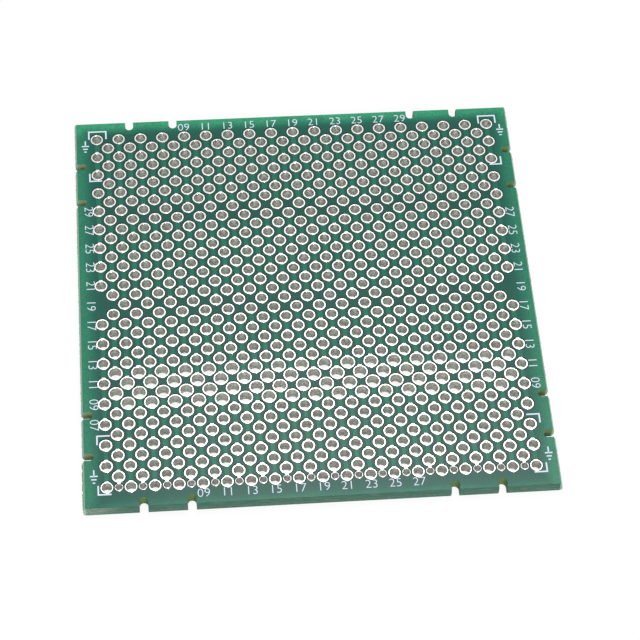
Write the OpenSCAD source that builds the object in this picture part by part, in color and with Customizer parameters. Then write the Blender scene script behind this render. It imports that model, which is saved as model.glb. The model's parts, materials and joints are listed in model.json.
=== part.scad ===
/* [Hole grid] */
// Columns of holes, left to right
cols = 37; // [29:2:45]
// Rows of holes, front to back
rows = 37; // [37:4:45]
// Distance between neighbouring columns and between neighbouring rows, half of the hole pitch
step = 1.27; // [1.25:0.01:1.4]
// Margin from the outermost hole centres to the edge of the board
margin = 2.54; // [2.3:0.01:4]

/* [Board] */
// Thickness over both solder masks
board_t = 1.55; // [0.8:0.05:2.4]
// Thickness of each solder mask
mask_t = 0.05; // [0.04:0.01:0.1]
// How far the scored groove undercuts each edge at the surface
score_inset = 0.2; // [0.05:0.01:0.4]
// Depth of the scored groove on each side of the laminate
score_depth = 0.43; // [0.05:0.01:0.5]

/* [Edge slots] */
// Width of each slot, which ends round
slot_w = 0.92; // [0.6:0.01:1.6]
// Depth of each slot from the edge
slot_depth = 1.28; // [0.9:0.01:1.3]
// Distance from a corner to the nearer slot of each pair
slot_near = 6.35; // [4:0.01:8]
// Distance between the two slots of a pair
slot_apart = 5.08; // [3:0.01:8]

/* [Standard pads] */
// Outside diameter of a standard pad
pad_d = 1.48; // [1.3:0.01:1.5]
// Finished hole of a standard pad
pad_hole_d = 1.12; // [0.6:0.01:1.15]
// Bare ring between a standard pad and the edge of its mask opening
pad_gap = 0.07; // [0.05:0.005:0.1]

/* [Large pads] */
// Outside diameter of a large pad
large_d = 1.68; // [1.5:0.01:1.69]
// Finished hole of a large pad
large_hole_d = 1.36; // [0.8:0.01:1.4]
// Bare ring between a large pad and the edge of its mask opening
large_gap = 0.045; // [0.04:0.001:0.05]
// First and last row of the large pads
large_rows = [8, 11]; // [0:1:36]

/* [Front row] */
// Outside diameter of a pad in the front row
front_d = 1.39; // [1.3:0.01:1.4]
// Bare ring round a pad of the front row and round a via
front_gap = 0.045; // [0.04:0.001:0.05]
// Outside diameter of a via, between two pads of the front row
via_d = 0.92; // [0.8:0.01:0.93]
// Finished hole of a via
via_hole_d = 0.76; // [0.3:0.01:0.77]

/* [Plating and traces] */
// Thickness of the plated wall in a hole
plating = 0.045; // [0.02:0.005:0.06]
// Thickness of the copper under the mask
copper_t = 0.03; // [0.015:0.005:0.035]
// How far a tinned pad stands above the mask
tin_rise = 0.02; // [0.01:0.01:0.05]
// Width of a trace
trace_w = 0.48; // [0.3:0.01:0.6]
// Width of the bare neck between a via and its pad
neck_w = 0.42; // [0.2:0.01:0.45]
// How far the mask sits towards the back, which bares the start of each trace
mask_shift = 0.03; // [0:0.005:0.044]
// Rows with no trace to the pad behind, in the even columns
even_breaks = [8, 16, 26]; // [0:1:36]
// Rows with no trace to the pad behind, in the odd columns
odd_breaks = [9, 17, 27]; // [0:1:36]
// Rows with no trace to the pad behind, in the first and last column
rail_breaks = [4, 16, 30]; // [0:1:36]

/* [Printed marks] */
// Width of a printed line
mark_w = 0.17; // [0.1:0.01:0.2]
// Thickness of the print
mark_t = 0.02; // [0.01:0.01:0.05]
// Distance from a pad's centre to the line behind, in front of or beside it, before the shift
mark_reach = 0.99; // [0.95:0.01:1.05]
// How far an open end of a mark reaches past its pad's centre
mark_tail = 0.3; // [0.1:0.01:0.5]
// How far the whole print sits to the right of the grid
print_right = 0.085; // [0:0.005:0.09]
// How far the whole print sits behind the grid
print_back = 0.18; // [0:0.01:0.2]
// Rows from a corner pad to the pad that closes its bracket
mark_rows = 4; // [4:2:8]

/* [Hidden] */
board_w = (cols - 1) * step + 2 * margin;
board_d = (rows - 1) * step + 2 * margin;
core_top = board_t - mask_t;
land_top = board_t + tin_rise;
middle_row = (rows - 1) / 2;
slack = 1;
$fn = 32;

// Kinds of pad: outside diameter, finished hole, gap to the mask
STANDARD = [pad_d, pad_hole_d, pad_gap];
LARGE = [large_d, large_hole_d, large_gap];
FRONT = [front_d, pad_hole_d, front_gap];
VIA = [via_d, via_hole_d, front_gap];

function column_name(c) = str("column_", c < 9 ? "0" : "", c + 1);

function is_rail(c) = c == 0 || c == cols - 1;
function is_even(n) = n % 2 == 0;
function at_col(c) = (c - (cols - 1) / 2) * step;
function at_row(r) = (r - (rows - 1) / 2) * step;

// Every second place of the grid has a pad, apart from the middle of the first and last column
function has_pad(c, r) = is_even(c + r) && !(is_rail(c) && r == middle_row);
function pad_rows(c) = [for (r = [0 : rows - 1]) if (has_pad(c, r)) r];
function has_via(c) = !is_even(c);

function is_large(c, r) = r >= large_rows[0] && r <= large_rows[1] && !is_rail(c);
function kind(c, r) = is_large(c, r) ? LARGE : r == 0 ? FRONT : STANDARD;

function breaks(c) = is_rail(c) ? rail_breaks : is_even(c) ? even_breaks : odd_breaks;
function is_break(c, r) = len([for (b = breaks(c)) if (b == r) b]) > 0;
function has_trace(c, r) = has_pad(c, r) && r + 2 < rows && has_pad(c, r + 2) && !is_break(c, r);

// One hole that is plated through: lands on both faces and a barrel between them
module plated_hole(size) {
    land = size[0] / 2;
    hole = size[1] / 2;
    drill = hole + plating;
    rotate_extrude()
        polygon([
            [hole, 0], [land, 0], [land, mask_t], [drill, mask_t],
            [drill, core_top], [land, core_top], [land, land_top], [hole, land_top]
        ]);
}

module opening(size) {
    translate([0, mask_shift]) circle(d = size[0] + 2 * size[2]);
}

// Places its child at every pad of a column, with the pad's row in $row
module each_pad(c) {
    for ($row = pad_rows(c))
        translate([at_col(c), at_row($row)]) children();
}

module drilled(c) {
    each_pad(c) circle(d = kind(c, $row)[1] + 2 * plating);
    if (has_via(c)) translate([at_col(c), at_row(0)]) circle(d = via_hole_d + 2 * plating);
}

module openings(c) {
    each_pad(c) opening(kind(c, $row));
    if (has_via(c)) {
        translate([at_col(c), at_row(0)]) opening(VIA);
        neck(c, neck_w + 2 * front_gap);
    }
}

module neck(c, width) {
    translate([at_col(c) - width / 2, at_row(0)]) square([width, step]);
}

// Trace from the pad of one row to the pad behind it, in the same column
module trace(c, r) {
    translate([at_col(c) - trace_w / 2, at_row(r)]) square([trace_w, 2 * step]);
}

module traces(c) {
    for (r = pad_rows(c))
        if (has_trace(c, r)) trace(c, r);
}

module holes(c) {
    each_pad(c) circle(d = kind(c, $row)[1]);
    if (has_via(c)) translate([at_col(c), at_row(0)]) circle(d = via_hole_d);
}

// One edge slot, which opens to the right, with the edge on the Y axis
module slot() {
    translate([-slot_depth + slot_w / 2, 0]) circle(d = slot_w);
    translate([-slot_depth + slot_w / 2, -slot_w / 2]) square([slot_depth - slot_w / 2 + slack, slot_w]);
}

module edge_slots(reach, length) {
    for (side = [0, 1], end = [-1, 1], place = [slot_near, slot_near + slot_apart])
        rotate(180 * side) translate([reach / 2, end * (length / 2 - place)]) slot();
}

module slots() {
    edge_slots(board_w, board_d);
    rotate(90) edge_slots(board_d, board_w);
}

// Section of a board with scored edges, drawn upright and as wide as the board
module scored_section(width) {
    face = width / 2 - score_inset;
    full = width / 2;
    polygon([
        [-face, mask_t], [face, mask_t], [full, mask_t + score_depth], [full, core_top - score_depth],
        [face, core_top], [-face, core_top], [-full, core_top - score_depth], [-full, mask_t + score_depth]
    ]);
}

module upright(length) {
    rotate([90, 0, 0]) linear_extrude(length, center = true) children();
}

module laminate() {
    color("darkseagreen")
        difference() {
            intersection() {
                upright(board_d + slack) scored_section(board_w);
                rotate(90) upright(board_w + slack) scored_section(board_d);
            }
            translate([0, 0, -slack])
                linear_extrude(board_t + 2 * slack) {
                    slots();
                    for (c = [0 : cols - 1]) drilled(c);
                }
        }
}

module mask_plan() {
    difference() {
        square([board_w - 2 * score_inset, board_d - 2 * score_inset], center = true);
        slots();
        for (c = [0 : cols - 1]) openings(c);
    }
}

module top_mask() {
    color("seagreen")
        translate([0, 0, core_top])
            difference() {
                linear_extrude(mask_t) mask_plan();
                translate([0, 0, -slack])
                    linear_extrude(slack + copper_t)
                        for (c = [0 : cols - 1]) traces(c);
            }
}

module bottom_mask() {
    color("seagreen") linear_extrude(mask_t) mask_plan();
}

// Conductors of one column: plated holes joined in short rows by traces
module column(c) {
    color("gainsboro") {
        for (r = pad_rows(c))
            translate([at_col(c), at_row(r)]) plated_hole(kind(c, r));
        if (has_via(c)) translate([at_col(c), at_row(0)]) plated_hole(VIA);
        translate([0, 0, core_top]) {
            linear_extrude(copper_t)
                difference() {
                    traces(c);
                    holes(c);
                }
            linear_extrude(mask_t + tin_rise)
                difference() {
                    bare_traces(c);
                    holes(c);
                }
        }
    }
}

// The start of each trace and each neck, which the mask leaves bare
module bare_traces(c) {
    intersection() {
        traces(c);
        openings(c);
    }
    if (has_via(c)) neck(c, neck_w);
}

// A printed line through points, with runs along X or Y only
module printed_line(points) {
    for (i = [0 : len(points) - 2]) {
        low = [min(points[i].x, points[i + 1].x), min(points[i].y, points[i + 1].y)];
        high = [max(points[i].x, points[i + 1].x), max(points[i].y, points[i + 1].y)];
        translate([low.x - mark_w / 2, low.y - mark_w / 2])
            square([high.x - low.x + mark_w, high.y - low.y + mark_w]);
    }
}

// The marks of the left side: brackets that close the first pads of the outer column
module left_marks() {
    x = at_col(0);
    front = at_row(0);
    back = at_row(rows - 1);
    front_end = at_row(mark_rows);
    back_end = at_row(rows - 1 - mark_rows);
    left = x - mark_reach;
    right = x + mark_reach;
    tail = x + mark_tail;
    printed_line([[left, back], [left, back + mark_reach], [right, back + mark_reach], [right, back]]);
    printed_line([[left, back_end], [left, back_end - mark_reach], [tail, back_end - mark_reach]]);
    printed_line([[tail, front_end + mark_reach], [left, front_end + mark_reach], [left, front_end]]);
    printed_line([[left, front], [left, front - mark_reach], [tail, front - mark_reach]]);
}

// The print stops where the mask is open round a pad
module printed_marks() {
    color("white")
        translate([0, 0, board_t])
            linear_extrude(mark_t)
                difference() {
                    translate([print_right, print_back])
                        for (side = [0, 1]) mirror([side, 0]) left_marks();
                    for (c = [0, cols - 1]) openings(c);
                }
}

laminate();
top_mask();
bottom_mask();
printed_marks();
for (c = [0 : cols - 1])
    column(c);
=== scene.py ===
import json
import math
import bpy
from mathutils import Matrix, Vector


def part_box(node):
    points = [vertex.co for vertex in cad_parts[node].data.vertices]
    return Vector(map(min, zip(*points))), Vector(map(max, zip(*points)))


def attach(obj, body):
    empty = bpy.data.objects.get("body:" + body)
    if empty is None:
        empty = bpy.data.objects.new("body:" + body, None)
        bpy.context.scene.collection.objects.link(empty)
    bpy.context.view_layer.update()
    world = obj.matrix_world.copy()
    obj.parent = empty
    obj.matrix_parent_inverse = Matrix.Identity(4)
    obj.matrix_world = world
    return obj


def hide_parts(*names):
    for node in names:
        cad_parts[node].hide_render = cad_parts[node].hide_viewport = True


bl_info = {
    "name": "Prototype Board",
    "version": (1, 0, 0),
    "blender": (4, 5, 0),
    "location": "3D View > Sidebar > Board",
    "description": "Dresses a plated-through prototype board and sets it on a pale stage",
    "category": "Object",
}

from collections import namedtuple

import bmesh
import bpy
from bpy.props import FloatProperty, FloatVectorProperty, IntProperty, PointerProperty
from mathutils import Matrix, Vector

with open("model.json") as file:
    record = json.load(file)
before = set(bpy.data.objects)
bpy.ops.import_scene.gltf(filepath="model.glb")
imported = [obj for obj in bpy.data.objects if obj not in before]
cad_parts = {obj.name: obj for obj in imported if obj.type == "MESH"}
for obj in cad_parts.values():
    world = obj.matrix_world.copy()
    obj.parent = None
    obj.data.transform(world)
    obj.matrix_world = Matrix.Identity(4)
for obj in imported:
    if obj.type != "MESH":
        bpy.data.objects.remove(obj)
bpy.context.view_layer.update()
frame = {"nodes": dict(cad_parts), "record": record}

MM = 0.001
ROOT = "root"

# The hole grid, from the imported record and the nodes' boxes
mounts = {mount["name"]: mount for mount in frame["record"]["mounts"]}
COLUMNS = sorted(name for name in frame["nodes"] if name.startswith("column_"))
COLS = len(COLUMNS)
ROWS = COLS
STEP = mounts["pin_cell"]["dims"]["spacing_x_mm"] * MM / 2
MIDDLE = (COLS - 1) // 2
PAD_HOLE = 2 * mounts["pin_cell"]["dims"]["hole_r_mm"] * MM
LARGE_HOLE = 2 * mounts["large_holes"]["dims"]["hole_r_mm"] * MM

# Heights of the layers, and half the width of the laminate and of the mask
CORE_LOW, CORE_HIGH = (corner.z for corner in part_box("laminate"))
HALF_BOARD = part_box("laminate")[1].x
MASK_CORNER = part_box("top_mask")[1]
HALF_FACE, FACE = MASK_CORNER.x, MASK_CORNER.z
TIN_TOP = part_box(COLUMNS[0])[1].z

# The print's lower side, just inside the mask
PRINT_FOOT = FACE - 0.002 * MM

# Rows with no trace to the pad behind them, and the rows of large pads
EVEN_BREAKS = (8, 16, 26)
ODD_BREAKS = (9, 17, 27)
RAIL_BREAKS = (4, 16, 30)
LARGE_ROWS = (8, 9, 10, 11)

# The mask brightens in a band along its edges: painted light, a glow standing in for light that comes
# through the laminate's edges.
# The band is narrower along the front by FRONT_RIM, its border wanders, and it is stronger near the back.
# From INNER_BAND inwards the mask is at its darkest.
FRONT_RIM = 1.0 * MM
RIM_BAND = (0.1 * MM, 1.9 * MM)
RIM_WANDER = 0.7 * MM
RIM_STRENGTH, BACK_STRENGTH = 0.45, 0.53
BACK_BAND = (HALF_FACE - 2.5 * MM, HALF_FACE - 0.5 * MM)
INNER_BAND = (1.3 * MM, 2.7 * MM)

# Where the laminate's finish changes: at its upper face, which is darkened with painted shade for the trench
# round each pad, from an edge into a slot, and at the side edges.
# It gets paler towards the left edge, and its broken web towards the front end of that edge.
UPPER_FACE_BAND = (CORE_HIGH - 0.02 * MM, CORE_HIGH - 0.005 * MM)
SLOT_BAND = (0.2 * MM, 0.35 * MM)
SIDE_BAND = (HALF_BOARD - 0.3 * MM, HALF_BOARD - 0.2 * MM)
LEFT_BAND = (0.3 * MM, 5.0 * MM)
WEB_LEFT_BAND = (0.2 * MM, 4.0 * MM)
WEB_FRONT_BAND = (4.5 * MM, 7.0 * MM)

# Where a pad's tin is painted dark as shade in its trench: below its bevel, but not on the underside
FOOT_SHADE_BAND = (TIN_TOP - 0.03 * MM, TIN_TOP - 0.012 * MM)
UNDERSIDE_BAND = (0.01 * MM, 0.03 * MM)

# Refractive index of the mask and the laminate's resin
RESIN_IOR = 1.3

Pad = namedtuple("Pad", "outside hole opening")


def at(index):
    """Place of a column or row along its axis."""
    return (index - MIDDLE) * STEP


def is_rail(col):
    return col in (0, COLS - 1)


def has_pad(col, row):
    return (col + row) % 2 == 0 and not (is_rail(col) and row == MIDDLE)


def has_trace(col, row):
    """Whether a trace runs from this pad to the pad two rows behind it."""
    if not has_pad(col, row) or row + 2 >= ROWS or not has_pad(col, row + 2):
        return False
    breaks = RAIL_BREAKS if is_rail(col) else EVEN_BREAKS if col % 2 == 0 else ODD_BREAKS
    return row not in breaks


def kind_of(col, row):
    if row in LARGE_ROWS and not is_rail(col):
        return "large"
    return "front" if row == 0 else "standard"


def trace_kinds(col, row):
    """Kinds of the two pads that the trace from this pad joins."""
    return kind_of(col, row), kind_of(col, row + 2)


def length(name, description, default):
    """A length property in metres, given in millimetres."""
    return FloatProperty(name=name, description=description, default=default * MM, unit="LENGTH",
                         precision=5)


def colour(name, description, default):
    return FloatVectorProperty(name=name, description=description, default=default, size=3, min=0,
                               max=1, subtype="COLOR")


class BoardSizes(bpy.types.PropertyGroup):
    """Sizes of the pieces that this file models"""

    pad_d: length("Pad", "Outside diameter of a standard pad", 1.48)
    large_d: length("Large pad", "Outside diameter of a large pad", 1.68)
    front_d: length("Front pad", "Outside diameter of a pad in the front row", 1.39)
    via_d: length("Via", "Outside diameter of a via in the front row", 0.92)
    via_hole_d: length("Via hole", "Finished hole of a via", 0.76)
    plating: length("Plating", "Thickness of the plated wall in a hole", 0.045)
    mask_gap: length("Mask gap", "Bare ring between a standard pad and its mask opening", 0.07)
    tight_gap: length("Tight gap", "Bare ring round a large pad, a front pad or a via", 0.045)
    mask_shift: length("Mask shift", "How far the mask sits towards the back", 0.03)
    copper: length("Copper", "Thickness of the copper under the mask", 0.03)
    trace_w: length("Trace", "Width of a trace", 0.48)
    neck_w: length("Neck", "Width of the neck between a via and its pad", 0.42)
    ridge_w: length("Ridge", "Width of the raised mask over a trace", 0.60)
    ridge_rise: length("Ridge height", "How far the mask stands up over a trace", 0.018)
    number_h: length("Numbers", "Height of the printed numbers", 1.1)
    print_t: length("Print", "Thickness of the print", 0.018)
    fray: length("Fray", "How far the fibres of a broken edge stray", 0.035)
    fray_corner: length("Corner fray", "How far they stray at the front end of the left edge", 0.11)
    fray_cell: length("Fray cell", "Size of one cell of a broken edge", 0.16)
    sides: IntProperty(name="Sides", description="Sides of a turned pad", default=16, min=12, max=32)


class BoardFinish(bpy.types.PropertyGroup):
    """Colours of the board"""

    mask: colour("Mask", "Solder mask over bare laminate", (0.009, 0.070, 0.052))
    mask_copper: colour("Mask on copper", "Solder mask over copper", (0.007, 0.100, 0.068))
    mask_rim: colour("Mask rim", "Solder mask near the edge, where light comes through the laminate",
                     (0.038, 0.330, 0.170))
    laminate: colour("Laminate", "Cut glass-epoxy laminate", (0.032, 0.110, 0.084))
    laminate_dark: colour("Dark laminate", "Resin between the fibres of the cut laminate",
                          (0.045, 0.085, 0.045))
    laminate_pale: colour("Broken laminate", "Pale fibres where the board was broken from its panel",
                          (0.420, 0.460, 0.360))
    laminate_side: colour("Side edges", "Laminate of the left and right edges", (0.30, 0.48, 0.37))
    # Painted shade: the bare laminate in the trench round each pad is painted nearly black for the shade
    # that falls there
    laminate_face_shade: colour("Laminate face", "Bare laminate between a pad and the mask",
                          (0.006, 0.028, 0.020))
    slot_wall: colour("Slot wall", "Milled laminate in the edge slots", (0.190, 0.300, 0.090))
    tin: colour("Tin", "Bright tin on the pads", (0.77, 0.77, 0.765))
    tin_dull: colour("Dull tin", "The dullest tin on the pads", (0.70, 0.70, 0.68))
    # Painted shade: the outer wall of a pad stands in a trench and is painted dark for the shade there
    land_foot_shade: colour("Pad foot", "Outer foot of a pad, where it meets the laminate", (0.10, 0.15, 0.12))
    barrel: colour("Barrel", "Tin on the walls of the holes", (0.93, 0.94, 0.89))
    barrel_dull: colour("Dull barrel", "The dullest tin on the walls of the holes", (0.54, 0.54, 0.49))
    barrel_speck: colour("Barrel specks", "Dark specks on the walls of the holes", (0.20, 0.20, 0.17))
    print: colour("Print", "White screen print", (0.62, 0.70, 0.80))
    print_thin: colour("Thin print", "Print that lets the mask show through", (0.42, 0.55, 0.55))
    floor: colour("Floor", "Floor and backdrop", (0.90, 0.90, 0.90))


class Field:
    """A shader socket that node maths can be written with."""

    def __init__(self, maker, socket):
        self.maker = maker
        self.socket = socket

    def _math(self, operation, first, second):
        return self.maker.add("ShaderNodeMath", {"operation": operation}, {0: first, 1: second})["Value"]

    def __add__(self, other):
        return self._math("ADD", self, other)

    def __sub__(self, other):
        return self._math("SUBTRACT", self, other)

    def __rsub__(self, other):
        return self._math("SUBTRACT", other, self)

    def __mul__(self, other):
        return self._math("MULTIPLY", self, other)

    def __abs__(self):
        return self._math("ABSOLUTE", self, 0.0)

    __radd__ = __add__
    __rmul__ = __mul__

    def most(self, other):
        return self._math("MAXIMUM", self, other)

    def least(self, other):
        return self._math("MINIMUM", self, other)

    def ramp(self, low, high):
        """0 below low, 1 above high, and smooth between."""
        settings = {"interpolation_type": "SMOOTHSTEP"}
        sockets = {"Value": self, "From Min": low, "From Max": high}
        return self.maker.add("ShaderNodeMapRange", settings, sockets)["Result"]


class Node:
    """A shader node whose outputs are read by name."""

    def __init__(self, maker, node):
        self.maker = maker
        self.node = node

    def __getitem__(self, name):
        shown = [socket for socket in self.node.outputs if socket.name == name and socket.enabled]
        return Field(self.maker, shown[0])


class Material:
    """A material with one surface, built node by node."""

    def __init__(self, name):
        self.material = bpy.data.materials.new(name)
        self.material.use_nodes = True
        self.tree = self.material.node_tree
        self.tree.nodes.clear()

    def add(self, kind, settings=None, sockets=None):
        """Adds a node: its settings first, then the values or links of its sockets."""
        node = self.tree.nodes.new(kind)
        for key, value in (settings or {}).items():
            setattr(node, key, value)
        for key, value in (sockets or {}).items():
            socket = self._input(node, key)
            if isinstance(value, Field):
                self.tree.links.new(value.socket, socket)
            elif socket.type == "RGBA":
                socket.default_value = (*value, 1)
            else:
                socket.default_value = value
        return Node(self, node)

    def _input(self, node, key):
        """An input socket by its number, or by its name among those that are in use."""
        if isinstance(key, int):
            return node.inputs[key]
        return [socket for socket in node.inputs if socket.name == key and socket.enabled][0]

    def point(self):
        """The point on the piece."""
        return self.add("ShaderNodeTexCoord")["Object"]

    def axes(self, point):
        """The x, y and z of a point."""
        parts = self.add("ShaderNodeSeparateXYZ", sockets={"Vector": point})
        return parts["X"], parts["Y"], parts["Z"]

    def grain(self, point, size, detail=3.0, stretch=(1, 1, 1)):
        """Noise from 0 to 1 whose patches are about size metres across."""
        scaled = self.add("ShaderNodeMapping", sockets={"Vector": point, "Scale": stretch})["Vector"]
        sockets = {"Vector": scaled, "Scale": 1 / size, "Detail": detail}
        return self.add("ShaderNodeTexNoise", sockets=sockets)["Fac"]

    def blend(self, factor, first, second):
        """Mixes two colours."""
        sockets = {"Factor": factor, "A": first, "B": second}
        return self.add("ShaderNodeMix", {"data_type": "RGBA"}, sockets)["Result"]

    def relief(self, height, depth, strength):
        """A normal from a height that runs from 0 to 1 over depth metres."""
        sockets = {"Height": height, "Distance": depth, "Strength": strength}
        return self.add("ShaderNodeBump", sockets=sockets)["Normal"]

    def surface(self, **sockets):
        """The Principled surface. Underscores in a socket's name stand for spaces."""
        values = {key.replace("_", " "): value for key, value in sockets.items()}
        principled = self.add("ShaderNodeBsdfPrincipled", sockets=values)
        self.add("ShaderNodeOutputMaterial", sockets={"Surface": principled["BSDF"]})
        return self.material


def speckled(m, point, base, finish, amount):
    """Solder mask with small darker specks."""
    specks = m.grain(point, size=0.20 * MM, detail=1.0).ramp(0.35, 0.65)
    return m.blend(specks * amount, base, finish.mask)


def mask_material(finish):
    """Green solder mask: darker inside, with painted light brightening it towards the edge, and faint
    mottling.
    """
    m = Material("green_mask")
    point = m.point()
    x, y, _ = m.axes(point)
    edge = HALF_FACE - abs(x).most(abs(y + FRONT_RIM / 2) - FRONT_RIM / 2)
    cloudy = m.grain(point, size=2.2 * MM)
    fine = m.grain(point, size=0.12 * MM, detail=2.0)
    # Painted light: towards its edges the mask is lightened to mask_rim, standing in for light that comes
    # through the laminate, more so near the back
    rim = 1 - (edge + (cloudy - 0.5) * RIM_WANDER).ramp(*RIM_BAND)
    strength = RIM_STRENGTH + y.ramp(*BACK_BAND) * BACK_STRENGTH
    base = m.blend(rim * strength, finish.mask_copper, finish.mask_rim)
    base = m.blend(edge.ramp(*INNER_BAND) * 0.75, base, finish.mask)
    base = m.blend((cloudy - 0.35) * 0.5, base, finish.mask_copper)
    base = speckled(m, point, base, finish, 0.35)
    rough = 0.15 + fine * 0.06 + cloudy * 0.04
    normal = m.relief(fine * 0.6 + cloudy, depth=0.004 * MM, strength=0.35)
    return m.surface(Base_Color=base, Roughness=rough, Normal=normal, IOR=RESIN_IOR)


def ridge_material(finish):
    """Solder mask over a trace, where the copper shows through."""
    m = Material("mask_over_copper")
    point = m.point()
    cloudy = m.grain(point, size=2.2 * MM)
    fine = m.grain(point, size=0.10 * MM, detail=2.0)
    base = m.blend(cloudy * 0.35, finish.mask_copper, finish.mask_rim)
    base = speckled(m, point, base, finish, 0.3)
    normal = m.relief(fine, depth=0.003 * MM, strength=0.3)
    return m.surface(Base_Color=base, Roughness=0.16 + fine * 0.06, Normal=normal, IOR=RESIN_IOR)


def laminate_material(finish):
    """Cut laminate: thin layers of glass cloth in resin, paler at the sides and towards the left edge, with
    painted shade on its upper face round the pads.
    """
    m = Material("glass_laminate")
    point = m.point()
    x, y, z = m.axes(point)
    layers = m.grain(point, size=0.9 * MM, stretch=(0.6, 0.6, 9.0))
    fibres = m.grain(point, size=0.10 * MM)
    face = z.ramp(*UPPER_FACE_BAND)
    slot = (HALF_BOARD - abs(x).most(abs(y))).ramp(*SLOT_BAND)
    side = abs(x).ramp(*SIDE_BAND)
    left = 1 - (x + HALF_BOARD).ramp(*LEFT_BAND)
    pale = layers.ramp(0.42, 0.72) * 0.15 + fibres.ramp(0.5, 0.8) * 0.15
    base = m.blend(pale, finish.laminate, finish.laminate_pale)
    base = m.blend(slot * 0.8, base, finish.slot_wall)
    base = m.blend(fibres * 0.35, base, finish.laminate_dark)
    base = m.blend(left * fibres.ramp(0.35, 0.6) * 0.5, base, finish.laminate_pale)
    base = m.blend(side * 0.75, base, finish.laminate_side)
    # Painted shade on the upper face, where it shows in the trenches round the pads
    base = m.blend(face * 0.9, base, finish.laminate_face_shade)
    normal = m.relief(fibres + layers * 0.3, depth=0.03 * MM, strength=0.6)
    return m.surface(Base_Color=base, Roughness=0.55 + fibres * 0.25, Normal=normal, IOR=RESIN_IOR)


def fibre_material(finish):
    """Broken laminate: loose glass fibres, palest at the front end of the left edge."""
    m = Material("broken_laminate")
    point = m.point()
    x, y, _ = m.axes(point)
    fibres = m.grain(point, size=0.12 * MM, detail=4.0, stretch=(1, 1, 2.5))
    patches = m.grain(point, size=0.8 * MM, detail=2.0)
    left = 1 - (x + HALF_BOARD).ramp(*WEB_LEFT_BAND)
    front = 1 - (y + HALF_BOARD).ramp(*WEB_FRONT_BAND)
    pale = fibres.ramp(0.45, 0.70) * (0.13 + left * front * 0.8) + patches * 0.08
    base = m.blend(pale.least(1.0), finish.laminate, finish.laminate_pale)
    normal = m.relief(fibres, depth=0.03 * MM, strength=0.8)
    return m.surface(Base_Color=base, Roughness=0.75, Normal=normal)


def tin_material(finish):
    """Bright tin on the pads, nearly level, with painted shade darkening the foot round the outside."""
    m = Material("bright_tin")
    point = m.point()
    z = m.axes(point)[2]
    fine = m.grain(point, size=0.16 * MM)
    soft = m.grain(point, size=0.6 * MM, detail=2.0)
    base = m.blend(soft * 0.15, finish.tin, finish.tin_dull)
    # Painted shade on the outer wall of each pad and on the sides of the bare traces and necks
    foot = (1 - z.ramp(*FOOT_SHADE_BAND)) * z.ramp(*UNDERSIDE_BAND)
    base = m.blend(foot, base, finish.land_foot_shade)
    normal = m.relief(fine + soft, depth=0.003 * MM, strength=0.3)
    return m.surface(Base_Color=base, Metallic=1.0, Roughness=0.22 + fine * 0.12, Normal=normal)


def barrel_material(name, finish, dull, roughness):
    """Uneven tin on the drilled wall of a hole, from its bright colour to a dull one."""
    m = Material(name)
    point = m.point()
    fine = m.grain(point, size=0.10 * MM)
    soft = m.grain(point, size=0.30 * MM, detail=2.0)
    base = m.blend(soft.ramp(0.3, 0.7), finish.barrel, dull)
    base = m.blend(fine.ramp(0.5, 0.8) * 0.4, base, finish.barrel_speck)
    normal = m.relief(soft + fine * 0.3, depth=0.03 * MM, strength=0.6)
    return m.surface(Base_Color=base, Metallic=1.0, Roughness=roughness + fine * 0.08, Normal=normal)


def print_material(finish):
    """White screen print, a little uneven."""
    m = Material("white_print")
    fine = m.grain(m.point(), size=0.09 * MM)
    base = m.blend(fine.ramp(0.5, 0.75) * 0.35, finish.print, finish.print_thin)
    normal = m.relief(fine, depth=0.006 * MM, strength=0.5)
    return m.surface(Base_Color=base, Roughness=0.55, Normal=normal)


def deselect():
    bpy.ops.object.select_all(action="DESELECT")


def activate(obj):
    """Selects one object alone and makes it active."""
    deselect()
    obj.select_set(True)
    bpy.context.view_layer.objects.active = obj


def join(objects, name):
    """Joins objects into one with its origin at the world's."""
    activate(objects[0])
    for obj in objects:
        obj.select_set(True)
    bpy.ops.object.join()
    joined = bpy.context.view_layer.objects.active
    bpy.ops.object.transform_apply(location=True, rotation=True, scale=True)
    joined.name = name
    joined.data.name = name
    return joined


def copy_at(template, x, y):
    """A copy of a template, with its own mesh, moved in the mesh."""
    obj = bpy.data.objects.new(template.name, template.data.copy())
    bpy.context.scene.collection.objects.link(obj)
    obj.data.transform(Matrix.Translation((x, y, 0)))
    return obj


def discard(objects):
    for obj in objects:
        bpy.data.objects.remove(obj)


def finish_piece(obj, material, replaced=()):
    """Gives a finished piece its material, unless it has its own, and tells the frame what it is."""
    if material:
        obj.data.materials.clear()
        obj.data.materials.append(material)
    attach(obj, ROOT)
    if replaced:
        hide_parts(*replaced)


def dress(node, material):
    """Gives a CAD node its material."""
    obj = frame["nodes"][node]
    if not obj.material_slots:
        activate(obj)
        bpy.ops.object.material_slot_add()
    for slot in obj.material_slots:
        slot.material = material


def select_at(mesh, chosen):
    """Selects the vertices of the mesh in edit mode that pass a test."""
    bm = bmesh.from_edit_mesh(mesh)
    for vertex in bm.verts:
        vertex.select = chosen(vertex.co)
    bm.select_flush(True)
    bmesh.update_edit_mesh(mesh)


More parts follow.
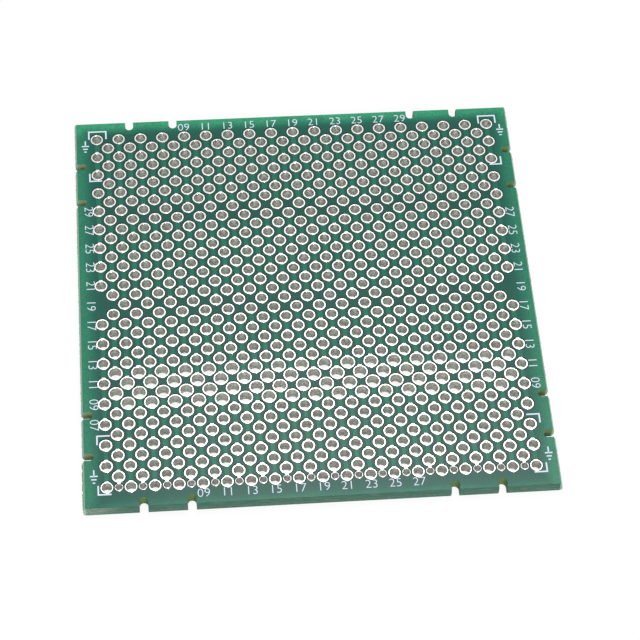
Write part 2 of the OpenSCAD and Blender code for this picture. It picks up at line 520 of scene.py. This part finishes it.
def turned_solid(name, outline, sides):
    """A solid turned round Z: the outline is drawn by extruding one point, closed and spun."""
    same_point = 0.001 * MM
    deselect()
    radius, height = outline[0]
    bpy.ops.mesh.primitive_plane_add(size=MM, location=(0, 0, 0))
    obj = bpy.context.object
    obj.name = name
    bpy.ops.object.mode_set(mode="EDIT")
    bpy.ops.mesh.select_all(action="SELECT")
    bpy.ops.mesh.merge(type="CENTER")
    bpy.ops.transform.translate(value=(radius, 0, height))
    for next_radius, next_height in outline[1:]:
        step = (next_radius - radius, 0, next_height - height)
        bpy.ops.mesh.extrude_region_move(TRANSFORM_OT_translate={"value": step})
        radius, height = next_radius, next_height
    ends = (outline[0], outline[-1])
    select_at(obj.data, lambda co: any(math.dist((co.x, co.z), end) < same_point for end in ends))
    bpy.ops.mesh.edge_face_add()
    bpy.ops.mesh.select_all(action="SELECT")
    bpy.ops.mesh.spin(steps=sides, angle=2 * math.pi, center=(0, 0, 0), axis=(0, 0, 1))
    bpy.ops.mesh.select_all(action="SELECT")
    bpy.ops.mesh.remove_doubles(threshold=same_point / 2)
    bpy.ops.mesh.normals_make_consistent(inside=False)
    bpy.ops.object.mode_set(mode="OBJECT")
    return obj


def low_block(name, low, high, taper):
    """A block whose upper face is drawn in on all sides by taper."""
    deselect()
    size = [b - a for a, b in zip(low, high)]
    middle = [(a + b) / 2 for a, b in zip(low, high)]
    bpy.ops.mesh.primitive_cube_add(size=1, location=middle, scale=size)
    obj = bpy.context.object
    obj.name = name
    bpy.ops.object.transform_apply(location=True, rotation=True, scale=True)
    bpy.ops.object.mode_set(mode="EDIT")
    select_at(obj.data, lambda co: co.z > middle[2])
    shrink = [1 - 2 * taper / side for side in size[:2]]
    bpy.ops.transform.resize(value=(*shrink, 1), center_override=(*middle[:2], high[2]))
    bpy.ops.object.mode_set(mode="OBJECT")
    return obj


class BoardOperator(bpy.types.Operator):
    """Shared by the board's operators"""

    bl_options = {"REGISTER", "UNDO"}

    @property
    def sizes(self):
        return bpy.context.scene.board_sizes

    @property
    def finish(self):
        return bpy.context.scene.board_finish

    @property
    def pads(self):
        """Outside diameter, finished hole and mask opening of each kind of pad."""
        sizes = self.sizes
        wide, tight = 2 * sizes.mask_gap, 2 * sizes.tight_gap
        return {
            "standard": Pad(sizes.pad_d, PAD_HOLE, sizes.pad_d + wide),
            "large": Pad(sizes.large_d, LARGE_HOLE, sizes.large_d + tight),
            "front": Pad(sizes.front_d, PAD_HOLE, sizes.front_d + tight),
            "via": Pad(sizes.via_d, sizes.via_hole_d, sizes.via_d + tight),
        }


class BOARD_OT_dress_laminate(BoardOperator):
    """Give the laminate its layered, fibrous finish"""

    bl_idname = "board.dress_laminate"
    bl_label = "Dress Laminate"

    def execute(self, context):
        dress("laminate", laminate_material(self.finish))
        return {"FINISHED"}


class BOARD_OT_dress_masks(BoardOperator):
    """Give both solder masks their green finish"""

    bl_idname = "board.dress_masks"
    bl_label = "Dress Solder Masks"

    def execute(self, context):
        material = mask_material(self.finish)
        for node in ("top_mask", "bottom_mask"):
            dress(node, material)
        return {"FINISHED"}


class BOARD_OT_add_columns(BoardOperator):
    """Model the tinned pads, vias and traces of every column"""

    bl_idname = "board.add_columns"
    bl_label = "Tinned Columns"

    # How far the bore opens at the underside, and how high up that starts
    MOUTH_OUT, MOUTH_UP = 0.05 * MM, 0.07 * MM
    # Bevel of a pad's inner edge, and how far its outer edge is drawn in and down
    LIP = 0.012 * MM
    SHOULDER_IN, SHOULDER_DOWN = 0.045 * MM, 0.035 * MM
    # Faces no further out than this from the bore are its wall
    WALL_DEPTH = 0.02 * MM
    # How far a strip runs under a pad or a via, and how far below their tops it stays where it is bare
    PAD_LAP, VIA_LAP = 0.09 * MM, 0.06 * MM
    BARE_DROP = 0.008 * MM
    # How far the upper edges of a trace, of its bare start and of a neck are drawn in
    TRACE_TAPER, START_TAPER, NECK_TAPER = 0.02 * MM, 0.03 * MM, 0.05 * MM
    # How much a bare start widens at its pad and narrows at its far end, and how near it comes to the bore
    FLARE = 0.11 * MM
    BORE_GAP = 0.03 * MM
    # Edges flatter than this are shaded smooth
    SMOOTH = math.radians(30)

    def plated_hole(self, name, outside, hole):
        """One plated hole: a bevelled pad on top, a barrel and a flat pad below."""
        land = outside / 2
        bore = hole / 2
        drill = bore + self.sizes.plating
        outline = [
            (bore + self.MOUTH_OUT, 0.0),
            (bore, self.MOUTH_UP),
            (bore, TIN_TOP - self.LIP),
            (bore + self.LIP, TIN_TOP),
            (land - self.SHOULDER_IN, TIN_TOP),
            (land, TIN_TOP - self.SHOULDER_DOWN),
            (land, CORE_HIGH),
            (drill, CORE_HIGH),
            (drill, CORE_LOW),
            (land, 0.0),
        ]
        obj = turned_solid(name, outline, self.sizes.sides)
        is_via = name == "via"
        for material in (self.tin, self.via_tin if is_via else self.barrel):
            obj.data.materials.append(material)
        # A via has its second tin all over, and a pad has it on the wall of its hole alone
        reach = (land if is_via else bore) + self.WALL_DEPTH
        for face in obj.data.polygons:
            face.material_index = int(face.center.xy.length < reach)
        return obj

    def strip(self, near, far):
        """A trace from one kind of pad to the next, with its bare, tinned start."""
        sizes = self.sizes
        pad = self.pads[near]
        half = sizes.trace_w / 2
        start = pad.outside / 2 - self.PAD_LAP
        bare = pad.opening / 2 + sizes.mask_shift
        end = 2 * STEP - self.pads[far].outside / 2 + self.PAD_LAP
        low = (-half, start, CORE_HIGH)
        copper = low_block("trace", low, (half, end, CORE_HIGH + sizes.copper), self.TRACE_TAPER)
        tinned = low_block("trace_start", low, (half, bare, TIN_TOP - self.BARE_DROP), self.START_TAPER)
        flare = self.FLARE if near != "large" else 0
        for vertex in tinned.data.vertices:
            end_on = (vertex.co.y - start) / (bare - start)
            vertex.co.x *= 1 + (flare - 2 * flare * end_on) / half
            vertex.co.y = max(vertex.co.y - (1 - end_on) * flare, pad.hole / 2 + self.BORE_GAP)
        strip = join([copper, tinned], "strip")
        strip.data.materials.append(self.tin)
        return strip

    def neck(self):
        """The bare strip between a via and the pad behind it."""
        sizes = self.sizes
        half = sizes.neck_w / 2
        low = (-half, sizes.via_d / 2 - self.VIA_LAP, CORE_HIGH)
        high = (half, STEP - sizes.pad_d / 2 + self.PAD_LAP, TIN_TOP - self.BARE_DROP)
        neck = low_block("neck", low, high, self.NECK_TAPER)
        neck.data.materials.append(self.tin)
        return neck

    def execute(self, context):
        finish = self.finish
        self.tin = tin_material(finish)
        self.barrel = barrel_material("barrel_tin", finish, dull=finish.barrel_dull, roughness=0.05)
        self.via_tin = barrel_material("via_tin", finish, dull=finish.tin, roughness=0.25)
        holes = {name: self.plated_hole(name, pad.outside, pad.hole) for name, pad in self.pads.items()}
        neck = self.neck()
        strips = {}
        for col, node in enumerate(COLUMNS):
            parts = []
            for row in range(ROWS):
                if has_pad(col, row):
                    parts.append(copy_at(holes[kind_of(col, row)], at(col), at(row)))
                if has_trace(col, row):
                    kinds = trace_kinds(col, row)
                    if kinds not in strips:
                        strips[kinds] = self.strip(*kinds)
                    parts.append(copy_at(strips[kinds], at(col), at(row)))
            if col % 2:
                parts.append(copy_at(holes["via"], at(col), at(0)))
                parts.append(copy_at(neck, at(col), at(0)))
            piece = join(parts, "tinned_" + node)
            bpy.ops.object.shade_smooth_by_angle(angle=self.SMOOTH)
            finish_piece(piece, None, [node])
        discard([*holes.values(), *strips.values(), neck])
        return {"FINISHED"}


class BOARD_OT_add_ridges(BoardOperator):
    """Model the low ridges where the mask runs over the traces"""

    bl_idname = "board.add_ridges"
    bl_label = "Mask over Traces"

    # Mask between a ridge and the openings, how far a ridge goes into the mask, and the slope of its sides
    BANK = 0.02 * MM
    SINK = 0.01 * MM
    SLOPE = 0.07 * MM

    def ridge(self, kinds):
        """The ridge between two kinds of pad."""
        sizes = self.sizes
        half = sizes.ridge_w / 2
        near, far = (self.pads[name].opening / 2 + self.BANK for name in kinds)
        low = (-half, near + sizes.mask_shift, FACE - self.SINK)
        high = (half, 2 * STEP - far + sizes.mask_shift, FACE + sizes.ridge_rise)
        return low_block("ridge", low, high, self.SLOPE)

    def execute(self, context):
        ridges = {}
        parts = []
        for col in range(COLS):
            for row in range(ROWS):
                if has_trace(col, row):
                    kinds = trace_kinds(col, row)
                    if kinds not in ridges:
                        ridges[kinds] = self.ridge(kinds)
                    parts.append(copy_at(ridges[kinds], at(col), at(row)))
        piece = join(parts, "mask_over_traces")
        finish_piece(piece, ridge_material(self.finish))
        discard(ridges.values())
        return {"FINISHED"}


class BOARD_OT_add_numbers(BoardOperator):
    """Print plain column and row numbers in the margins"""

    bl_idname = "board.add_numbers"
    bl_label = "Margin Numbers"

    # From each edge of the mask to the middle of its numbers
    FROM_BACK, FROM_FRONT, FROM_SIDE = 1.05 * MM, 1.10 * MM, 1.15 * MM
    # The columns and rows with a number at each edge
    BACK_COLS = range(8, 30, 2)
    FRONT_COLS = range(8, 28, 2)
    LEFT_ROWS = range(6, 30, 2)
    RIGHT_ROWS = range(8, 28, 2)
    # Text size for each height of its digits, and how much thinner than the font its strokes are
    TEXT_SCALE = 1.32
    THINNER = 0.02 * MM

    def number(self, value, x, y, turn):
        """One number as a flat, slightly thick print."""
        thickness = self.sizes.print_t
        deselect()
        bpy.ops.object.text_add(location=(0, 0, 0))
        text = bpy.context.object
        text.data.body = f"{value:02d}"
        text.data.size = self.sizes.number_h * self.TEXT_SCALE
        text.data.align_x = "CENTER"
        text.data.align_y = "CENTER"
        text.data.extrude = thickness / 2
        text.data.offset = -self.THINNER
        text.data.resolution_u = 3
        bpy.ops.object.convert(target="MESH")
        text = bpy.context.object
        place = Matrix.Translation((x, y, PRINT_FOOT + thickness / 2))
        text.data.transform(place @ Matrix.Rotation(turn, 4, "Z"))
        return text

    def execute(self, context):
        back = HALF_FACE - self.FROM_BACK
        front = -HALF_FACE + self.FROM_FRONT
        side = HALF_FACE - self.FROM_SIDE
        sideways = -math.pi / 2
        labels = [self.number(col + 1, at(col), back, 0) for col in self.BACK_COLS]
        labels += [self.number(col + 1, at(col), front, 0) for col in self.FRONT_COLS]
        labels += [self.number(row + 1, -side, at(row), sideways) for row in self.LEFT_ROWS]
        labels += [self.number(row + 1, side, at(row), sideways) for row in self.RIGHT_ROWS]
        piece = join(labels, "margin_numbers")
        finish_piece(piece, print_material(self.finish))
        return {"FINISHED"}


class BOARD_OT_add_symbols(BoardOperator):
    """Print a plain symbol of four bars beside each corner pad"""

    bl_idname = "board.add_symbols"
    bl_label = "Corner Symbols"

    # How far the whole print sits to the right of the grid and behind it
    PRINT_SHIFT = (0.085 * MM, 0.18 * MM)
    # From the mask's edge and from the corner pad to the symbol's middle
    FROM_EDGE, FROM_PAD = 0.92 * MM, 1.15 * MM
    # Half the width of every bar, the bevel of its upper edges, and the two ends of the stem
    HALF_BAR = 0.08 * MM
    BEVEL = 0.01 * MM
    STEM = (0.1 * MM, 0.85 * MM)
    # Each cross bar's place along the stem, and half its length
    CROSS_BARS = ((0.1 * MM, 0.42 * MM), (-0.3 * MM, 0.28 * MM), (-0.7 * MM, 0.14 * MM))

    def bar(self, name, low, high):
        """One bar between two corners in plan."""
        return low_block(name, (*low, PRINT_FOOT), (*high, FACE + self.sizes.print_t), self.BEVEL)

    def execute(self, context):
        half = self.HALF_BAR
        bars = [self.bar("stem", (-half, self.STEM[0]), (half, self.STEM[1]))]
        for place, reach in self.CROSS_BARS:
            bars.append(self.bar("bar", (-reach, place - half), (reach, place + half)))
        symbol = join(bars, "symbol")
        side = HALF_FACE - self.FROM_EDGE
        place = at(ROWS - 1) - self.FROM_PAD
        right, back = self.PRINT_SHIFT
        marks = [copy_at(symbol, x + right, y + back) for x in (-side, side) for y in (-place, place)]
        piece = join(marks, "corner_symbols")
        finish_piece(piece, print_material(self.finish))
        discard([symbol])
        return {"FINISHED"}


class BOARD_OT_add_broken_edges(BoardOperator):
    """Roughen the web of each scored edge, where the board was broken from its panel"""

    bl_idname = "board.add_broken_edges"
    bl_label = "Broken Edges"

    # Where the scored web runs between the slots: start and end of each length along an edge, in millimetres
    RUNS = ((-25.2, -19.6), (-18.5, -14.5), (-13.4, 13.4), (14.5, 18.5), (19.6, 25.2))
    # The web's lower and upper side, the cells between them, and how deep its plate goes into the laminate
    WEB = (0.50 * MM, 1.05 * MM)
    CELLS_UP = 4
    DEPTH = 0.2 * MM
    # The most frayed run: the left edge is the third side, and its last run ends at the front
    FRAYED = (2, 4)

    def strip(self, start, end, stray, seed):
        """A thin plate on the right edge's web, with its outer face roughened."""
        low, high = self.WEB
        run = (end - start) * MM
        middle = ((start + end) / 2 * MM, (low + high) / 2)
        cells = max(4, round(run / self.sizes.fray_cell))
        quarter = math.pi / 2
        deselect()
        bpy.ops.mesh.primitive_grid_add(x_subdivisions=cells, y_subdivisions=self.CELLS_UP, size=1,
                                        location=(0, 0, 0))
        obj = bpy.context.object
        obj.name = "web"
        upright = Matrix.Rotation(quarter, 4, "Z") @ Matrix.Rotation(quarter, 4, "X")
        place = Matrix.Translation((HALF_BOARD, *middle))
        obj.data.transform(place @ upright @ Matrix.Diagonal((run, high - low, 1, 1)))
        bpy.ops.object.mode_set(mode="EDIT")
        bpy.ops.mesh.select_all(action="SELECT")
        bpy.ops.transform.vertex_random(offset=stray, uniform=1.0, seed=seed)
        bpy.ops.mesh.extrude_region_move(TRANSFORM_OT_translate={"value": (-self.DEPTH, 0, 0)})
        bpy.ops.mesh.select_all(action="SELECT")
        bpy.ops.mesh.normals_make_consistent(inside=False)
        bpy.ops.object.mode_set(mode="OBJECT")
        return obj

    def execute(self, context):
        strips = []
        for side in range(4):
            for index, (start, end) in enumerate(self.RUNS):
                stray = self.sizes.fray_corner if (side, index) == self.FRAYED else self.sizes.fray
                web = self.strip(start, end, stray, seed=10 * side + index)
                web.data.transform(Matrix.Rotation(side * math.pi / 2, 4, "Z"))
                strips.append(web)
        piece = join(strips, "broken_edges")
        finish_piece(piece, fibre_material(self.finish))
        return {"FINISHED"}


class BOARD_OT_dress_marks(BoardOperator):
    """Give the printed corner marks their white ink"""

    bl_idname = "board.dress_marks"
    bl_label = "Dress Printed Marks"

    def execute(self, context):
        dress("printed_marks", print_material(self.finish))
        return {"FINISHED"}


class BOARD_OT_set_stage(BoardOperator):
    """Set the pale floor, the soft light and the camera"""

    bl_idname = "board.set_stage"
    bl_label = "Stage, Light and Camera"

    # The photograph's view: its aim on the board, distance, direction, roll and lens
    AIM = Vector((1.183, -3.304, 1.57)) * MM
    DISTANCE = 242.547 * MM
    AZIMUTH = math.radians(7.4633)
    ELEVATION = math.radians(57.6862)
    ROLL = math.radians(3.5756)
    # Focal length and sensor width, which Blender takes in millimetres
    LENS = 123.134
    SENSOR = 36.0
    NEAREST = 10 * MM
    # Half the floor's width in metres, how white it looks to the camera, and how much of that metal sees
    FLOOR_REACH = 1.5
    FLOOR_WHITE = 0.9
    WHITE_IN_METAL = 0.08
    SKY_STRENGTH = 0.78

    def floor(self):
        deselect()
        bpy.ops.mesh.primitive_plane_add(size=2 * self.FLOOR_REACH, location=(0, 0, 0))
        obj = bpy.context.object
        obj.name = "floor"
        m = Material("pale_floor")
        path = m.add("ShaderNodeLightPath")
        in_metal = path["Is Glossy Ray"] * self.WHITE_IN_METAL
        seen = path["Is Camera Ray"].most(path["Is Transmission Ray"]).most(in_metal)
        lit = m.add("ShaderNodeBsdfDiffuse", sockets={"Color": self.finish.floor})["BSDF"]
        white = m.add("ShaderNodeEmission", sockets={"Color": (1, 1, 1), "Strength": 1.0})["Emission"]
        sockets = {0: seen * self.FLOOR_WHITE, 1: lit, 2: white}
        mixed = m.add("ShaderNodeMixShader", sockets=sockets)["Shader"]
        m.add("ShaderNodeOutputMaterial", sockets={"Surface": mixed})
        obj.data.materials.append(m.material)

    def lamp(self, name, azimuth, elevation, distance, size, power):
        """A square soft box aimed at the board: angles in degrees, lengths in metres, power in watts."""
        a, e = math.radians(azimuth), math.radians(elevation)
        direction = Vector((math.sin(a) * math.cos(e), -math.cos(a) * math.cos(e), math.sin(e)))
        deselect()
        bpy.ops.object.light_add(type="AREA", location=direction * distance)
        obj = bpy.context.object
        obj.name = name
        obj.rotation_euler = (-direction).to_track_quat("-Z", "Y").to_euler()
        obj.data.shape = "SQUARE"
        obj.data.size = size
        obj.data.energy = power

    def sky(self):
        world = bpy.data.worlds.new("soft_sky")
        world.use_nodes = True
        background = world.node_tree.nodes["Background"]
        background.inputs["Color"].default_value = (1, 1, 1, 1)
        background.inputs["Strength"].default_value = self.SKY_STRENGTH
        bpy.context.scene.world = world

    def camera(self):
        tilt = Matrix.Rotation(math.pi / 2 - self.ELEVATION, 4, "X")
        turn = Matrix.Rotation(-self.AZIMUTH, 4, "Z") @ tilt @ Matrix.Rotation(self.ROLL, 4, "Z")
        place = self.AIM + turn.to_3x3() @ Vector((0, 0, self.DISTANCE))
        deselect()
        bpy.ops.object.camera_add(location=place, rotation=turn.to_euler())
        obj = bpy.context.object
        obj.data.sensor_width = self.SENSOR
        obj.data.lens = self.LENS
        obj.data.clip_start = self.NEAREST
        bpy.context.scene.camera = obj

    def execute(self, context):
        self.floor()
        self.sky()
        self.lamp("key_box", azimuth=12, elevation=38, distance=0.9, size=0.22, power=3.6)
        self.lamp("back_box", azimuth=163, elevation=70, distance=0.9, size=0.30, power=1.7)
        self.camera()
        context.scene.view_settings.view_transform = "Standard"
        return {"FINISHED"}


STEPS = (
    BOARD_OT_dress_laminate,
    BOARD_OT_dress_masks,
    BOARD_OT_add_columns,
    BOARD_OT_add_ridges,
    BOARD_OT_add_broken_edges,
    BOARD_OT_add_numbers,
    BOARD_OT_add_symbols,
    BOARD_OT_dress_marks,
    BOARD_OT_set_stage,
)


class BOARD_PT_panel(bpy.types.Panel):
    """Lists the board's steps in the sidebar"""

    bl_label = "Prototype Board"
    bl_space_type = "VIEW_3D"
    bl_region_type = "UI"
    bl_category = "Board"

    def draw(self, context):
        for group in (context.scene.board_sizes, context.scene.board_finish):
            box = self.layout.box()
            for name in group.__annotations__:
                box.prop(group, name)
        for step in STEPS:
            self.layout.operator(step.bl_idname)


CLASSES = (BoardSizes, BoardFinish, *STEPS, BOARD_PT_panel)


def register():
    for cls in CLASSES:
        bpy.utils.register_class(cls)
    bpy.types.Scene.board_sizes = PointerProperty(type=BoardSizes)
    bpy.types.Scene.board_finish = PointerProperty(type=BoardFinish)


def unregister():
    del bpy.types.Scene.board_finish
    del bpy.types.Scene.board_sizes
    for cls in reversed(CLASSES):
        bpy.utils.unregister_class(cls)


def main():
    register()
    for step in STEPS:
        group, name = step.bl_idname.split(".")
        getattr(getattr(bpy.ops, group), name)()


if __name__ == "__main__":
    main()
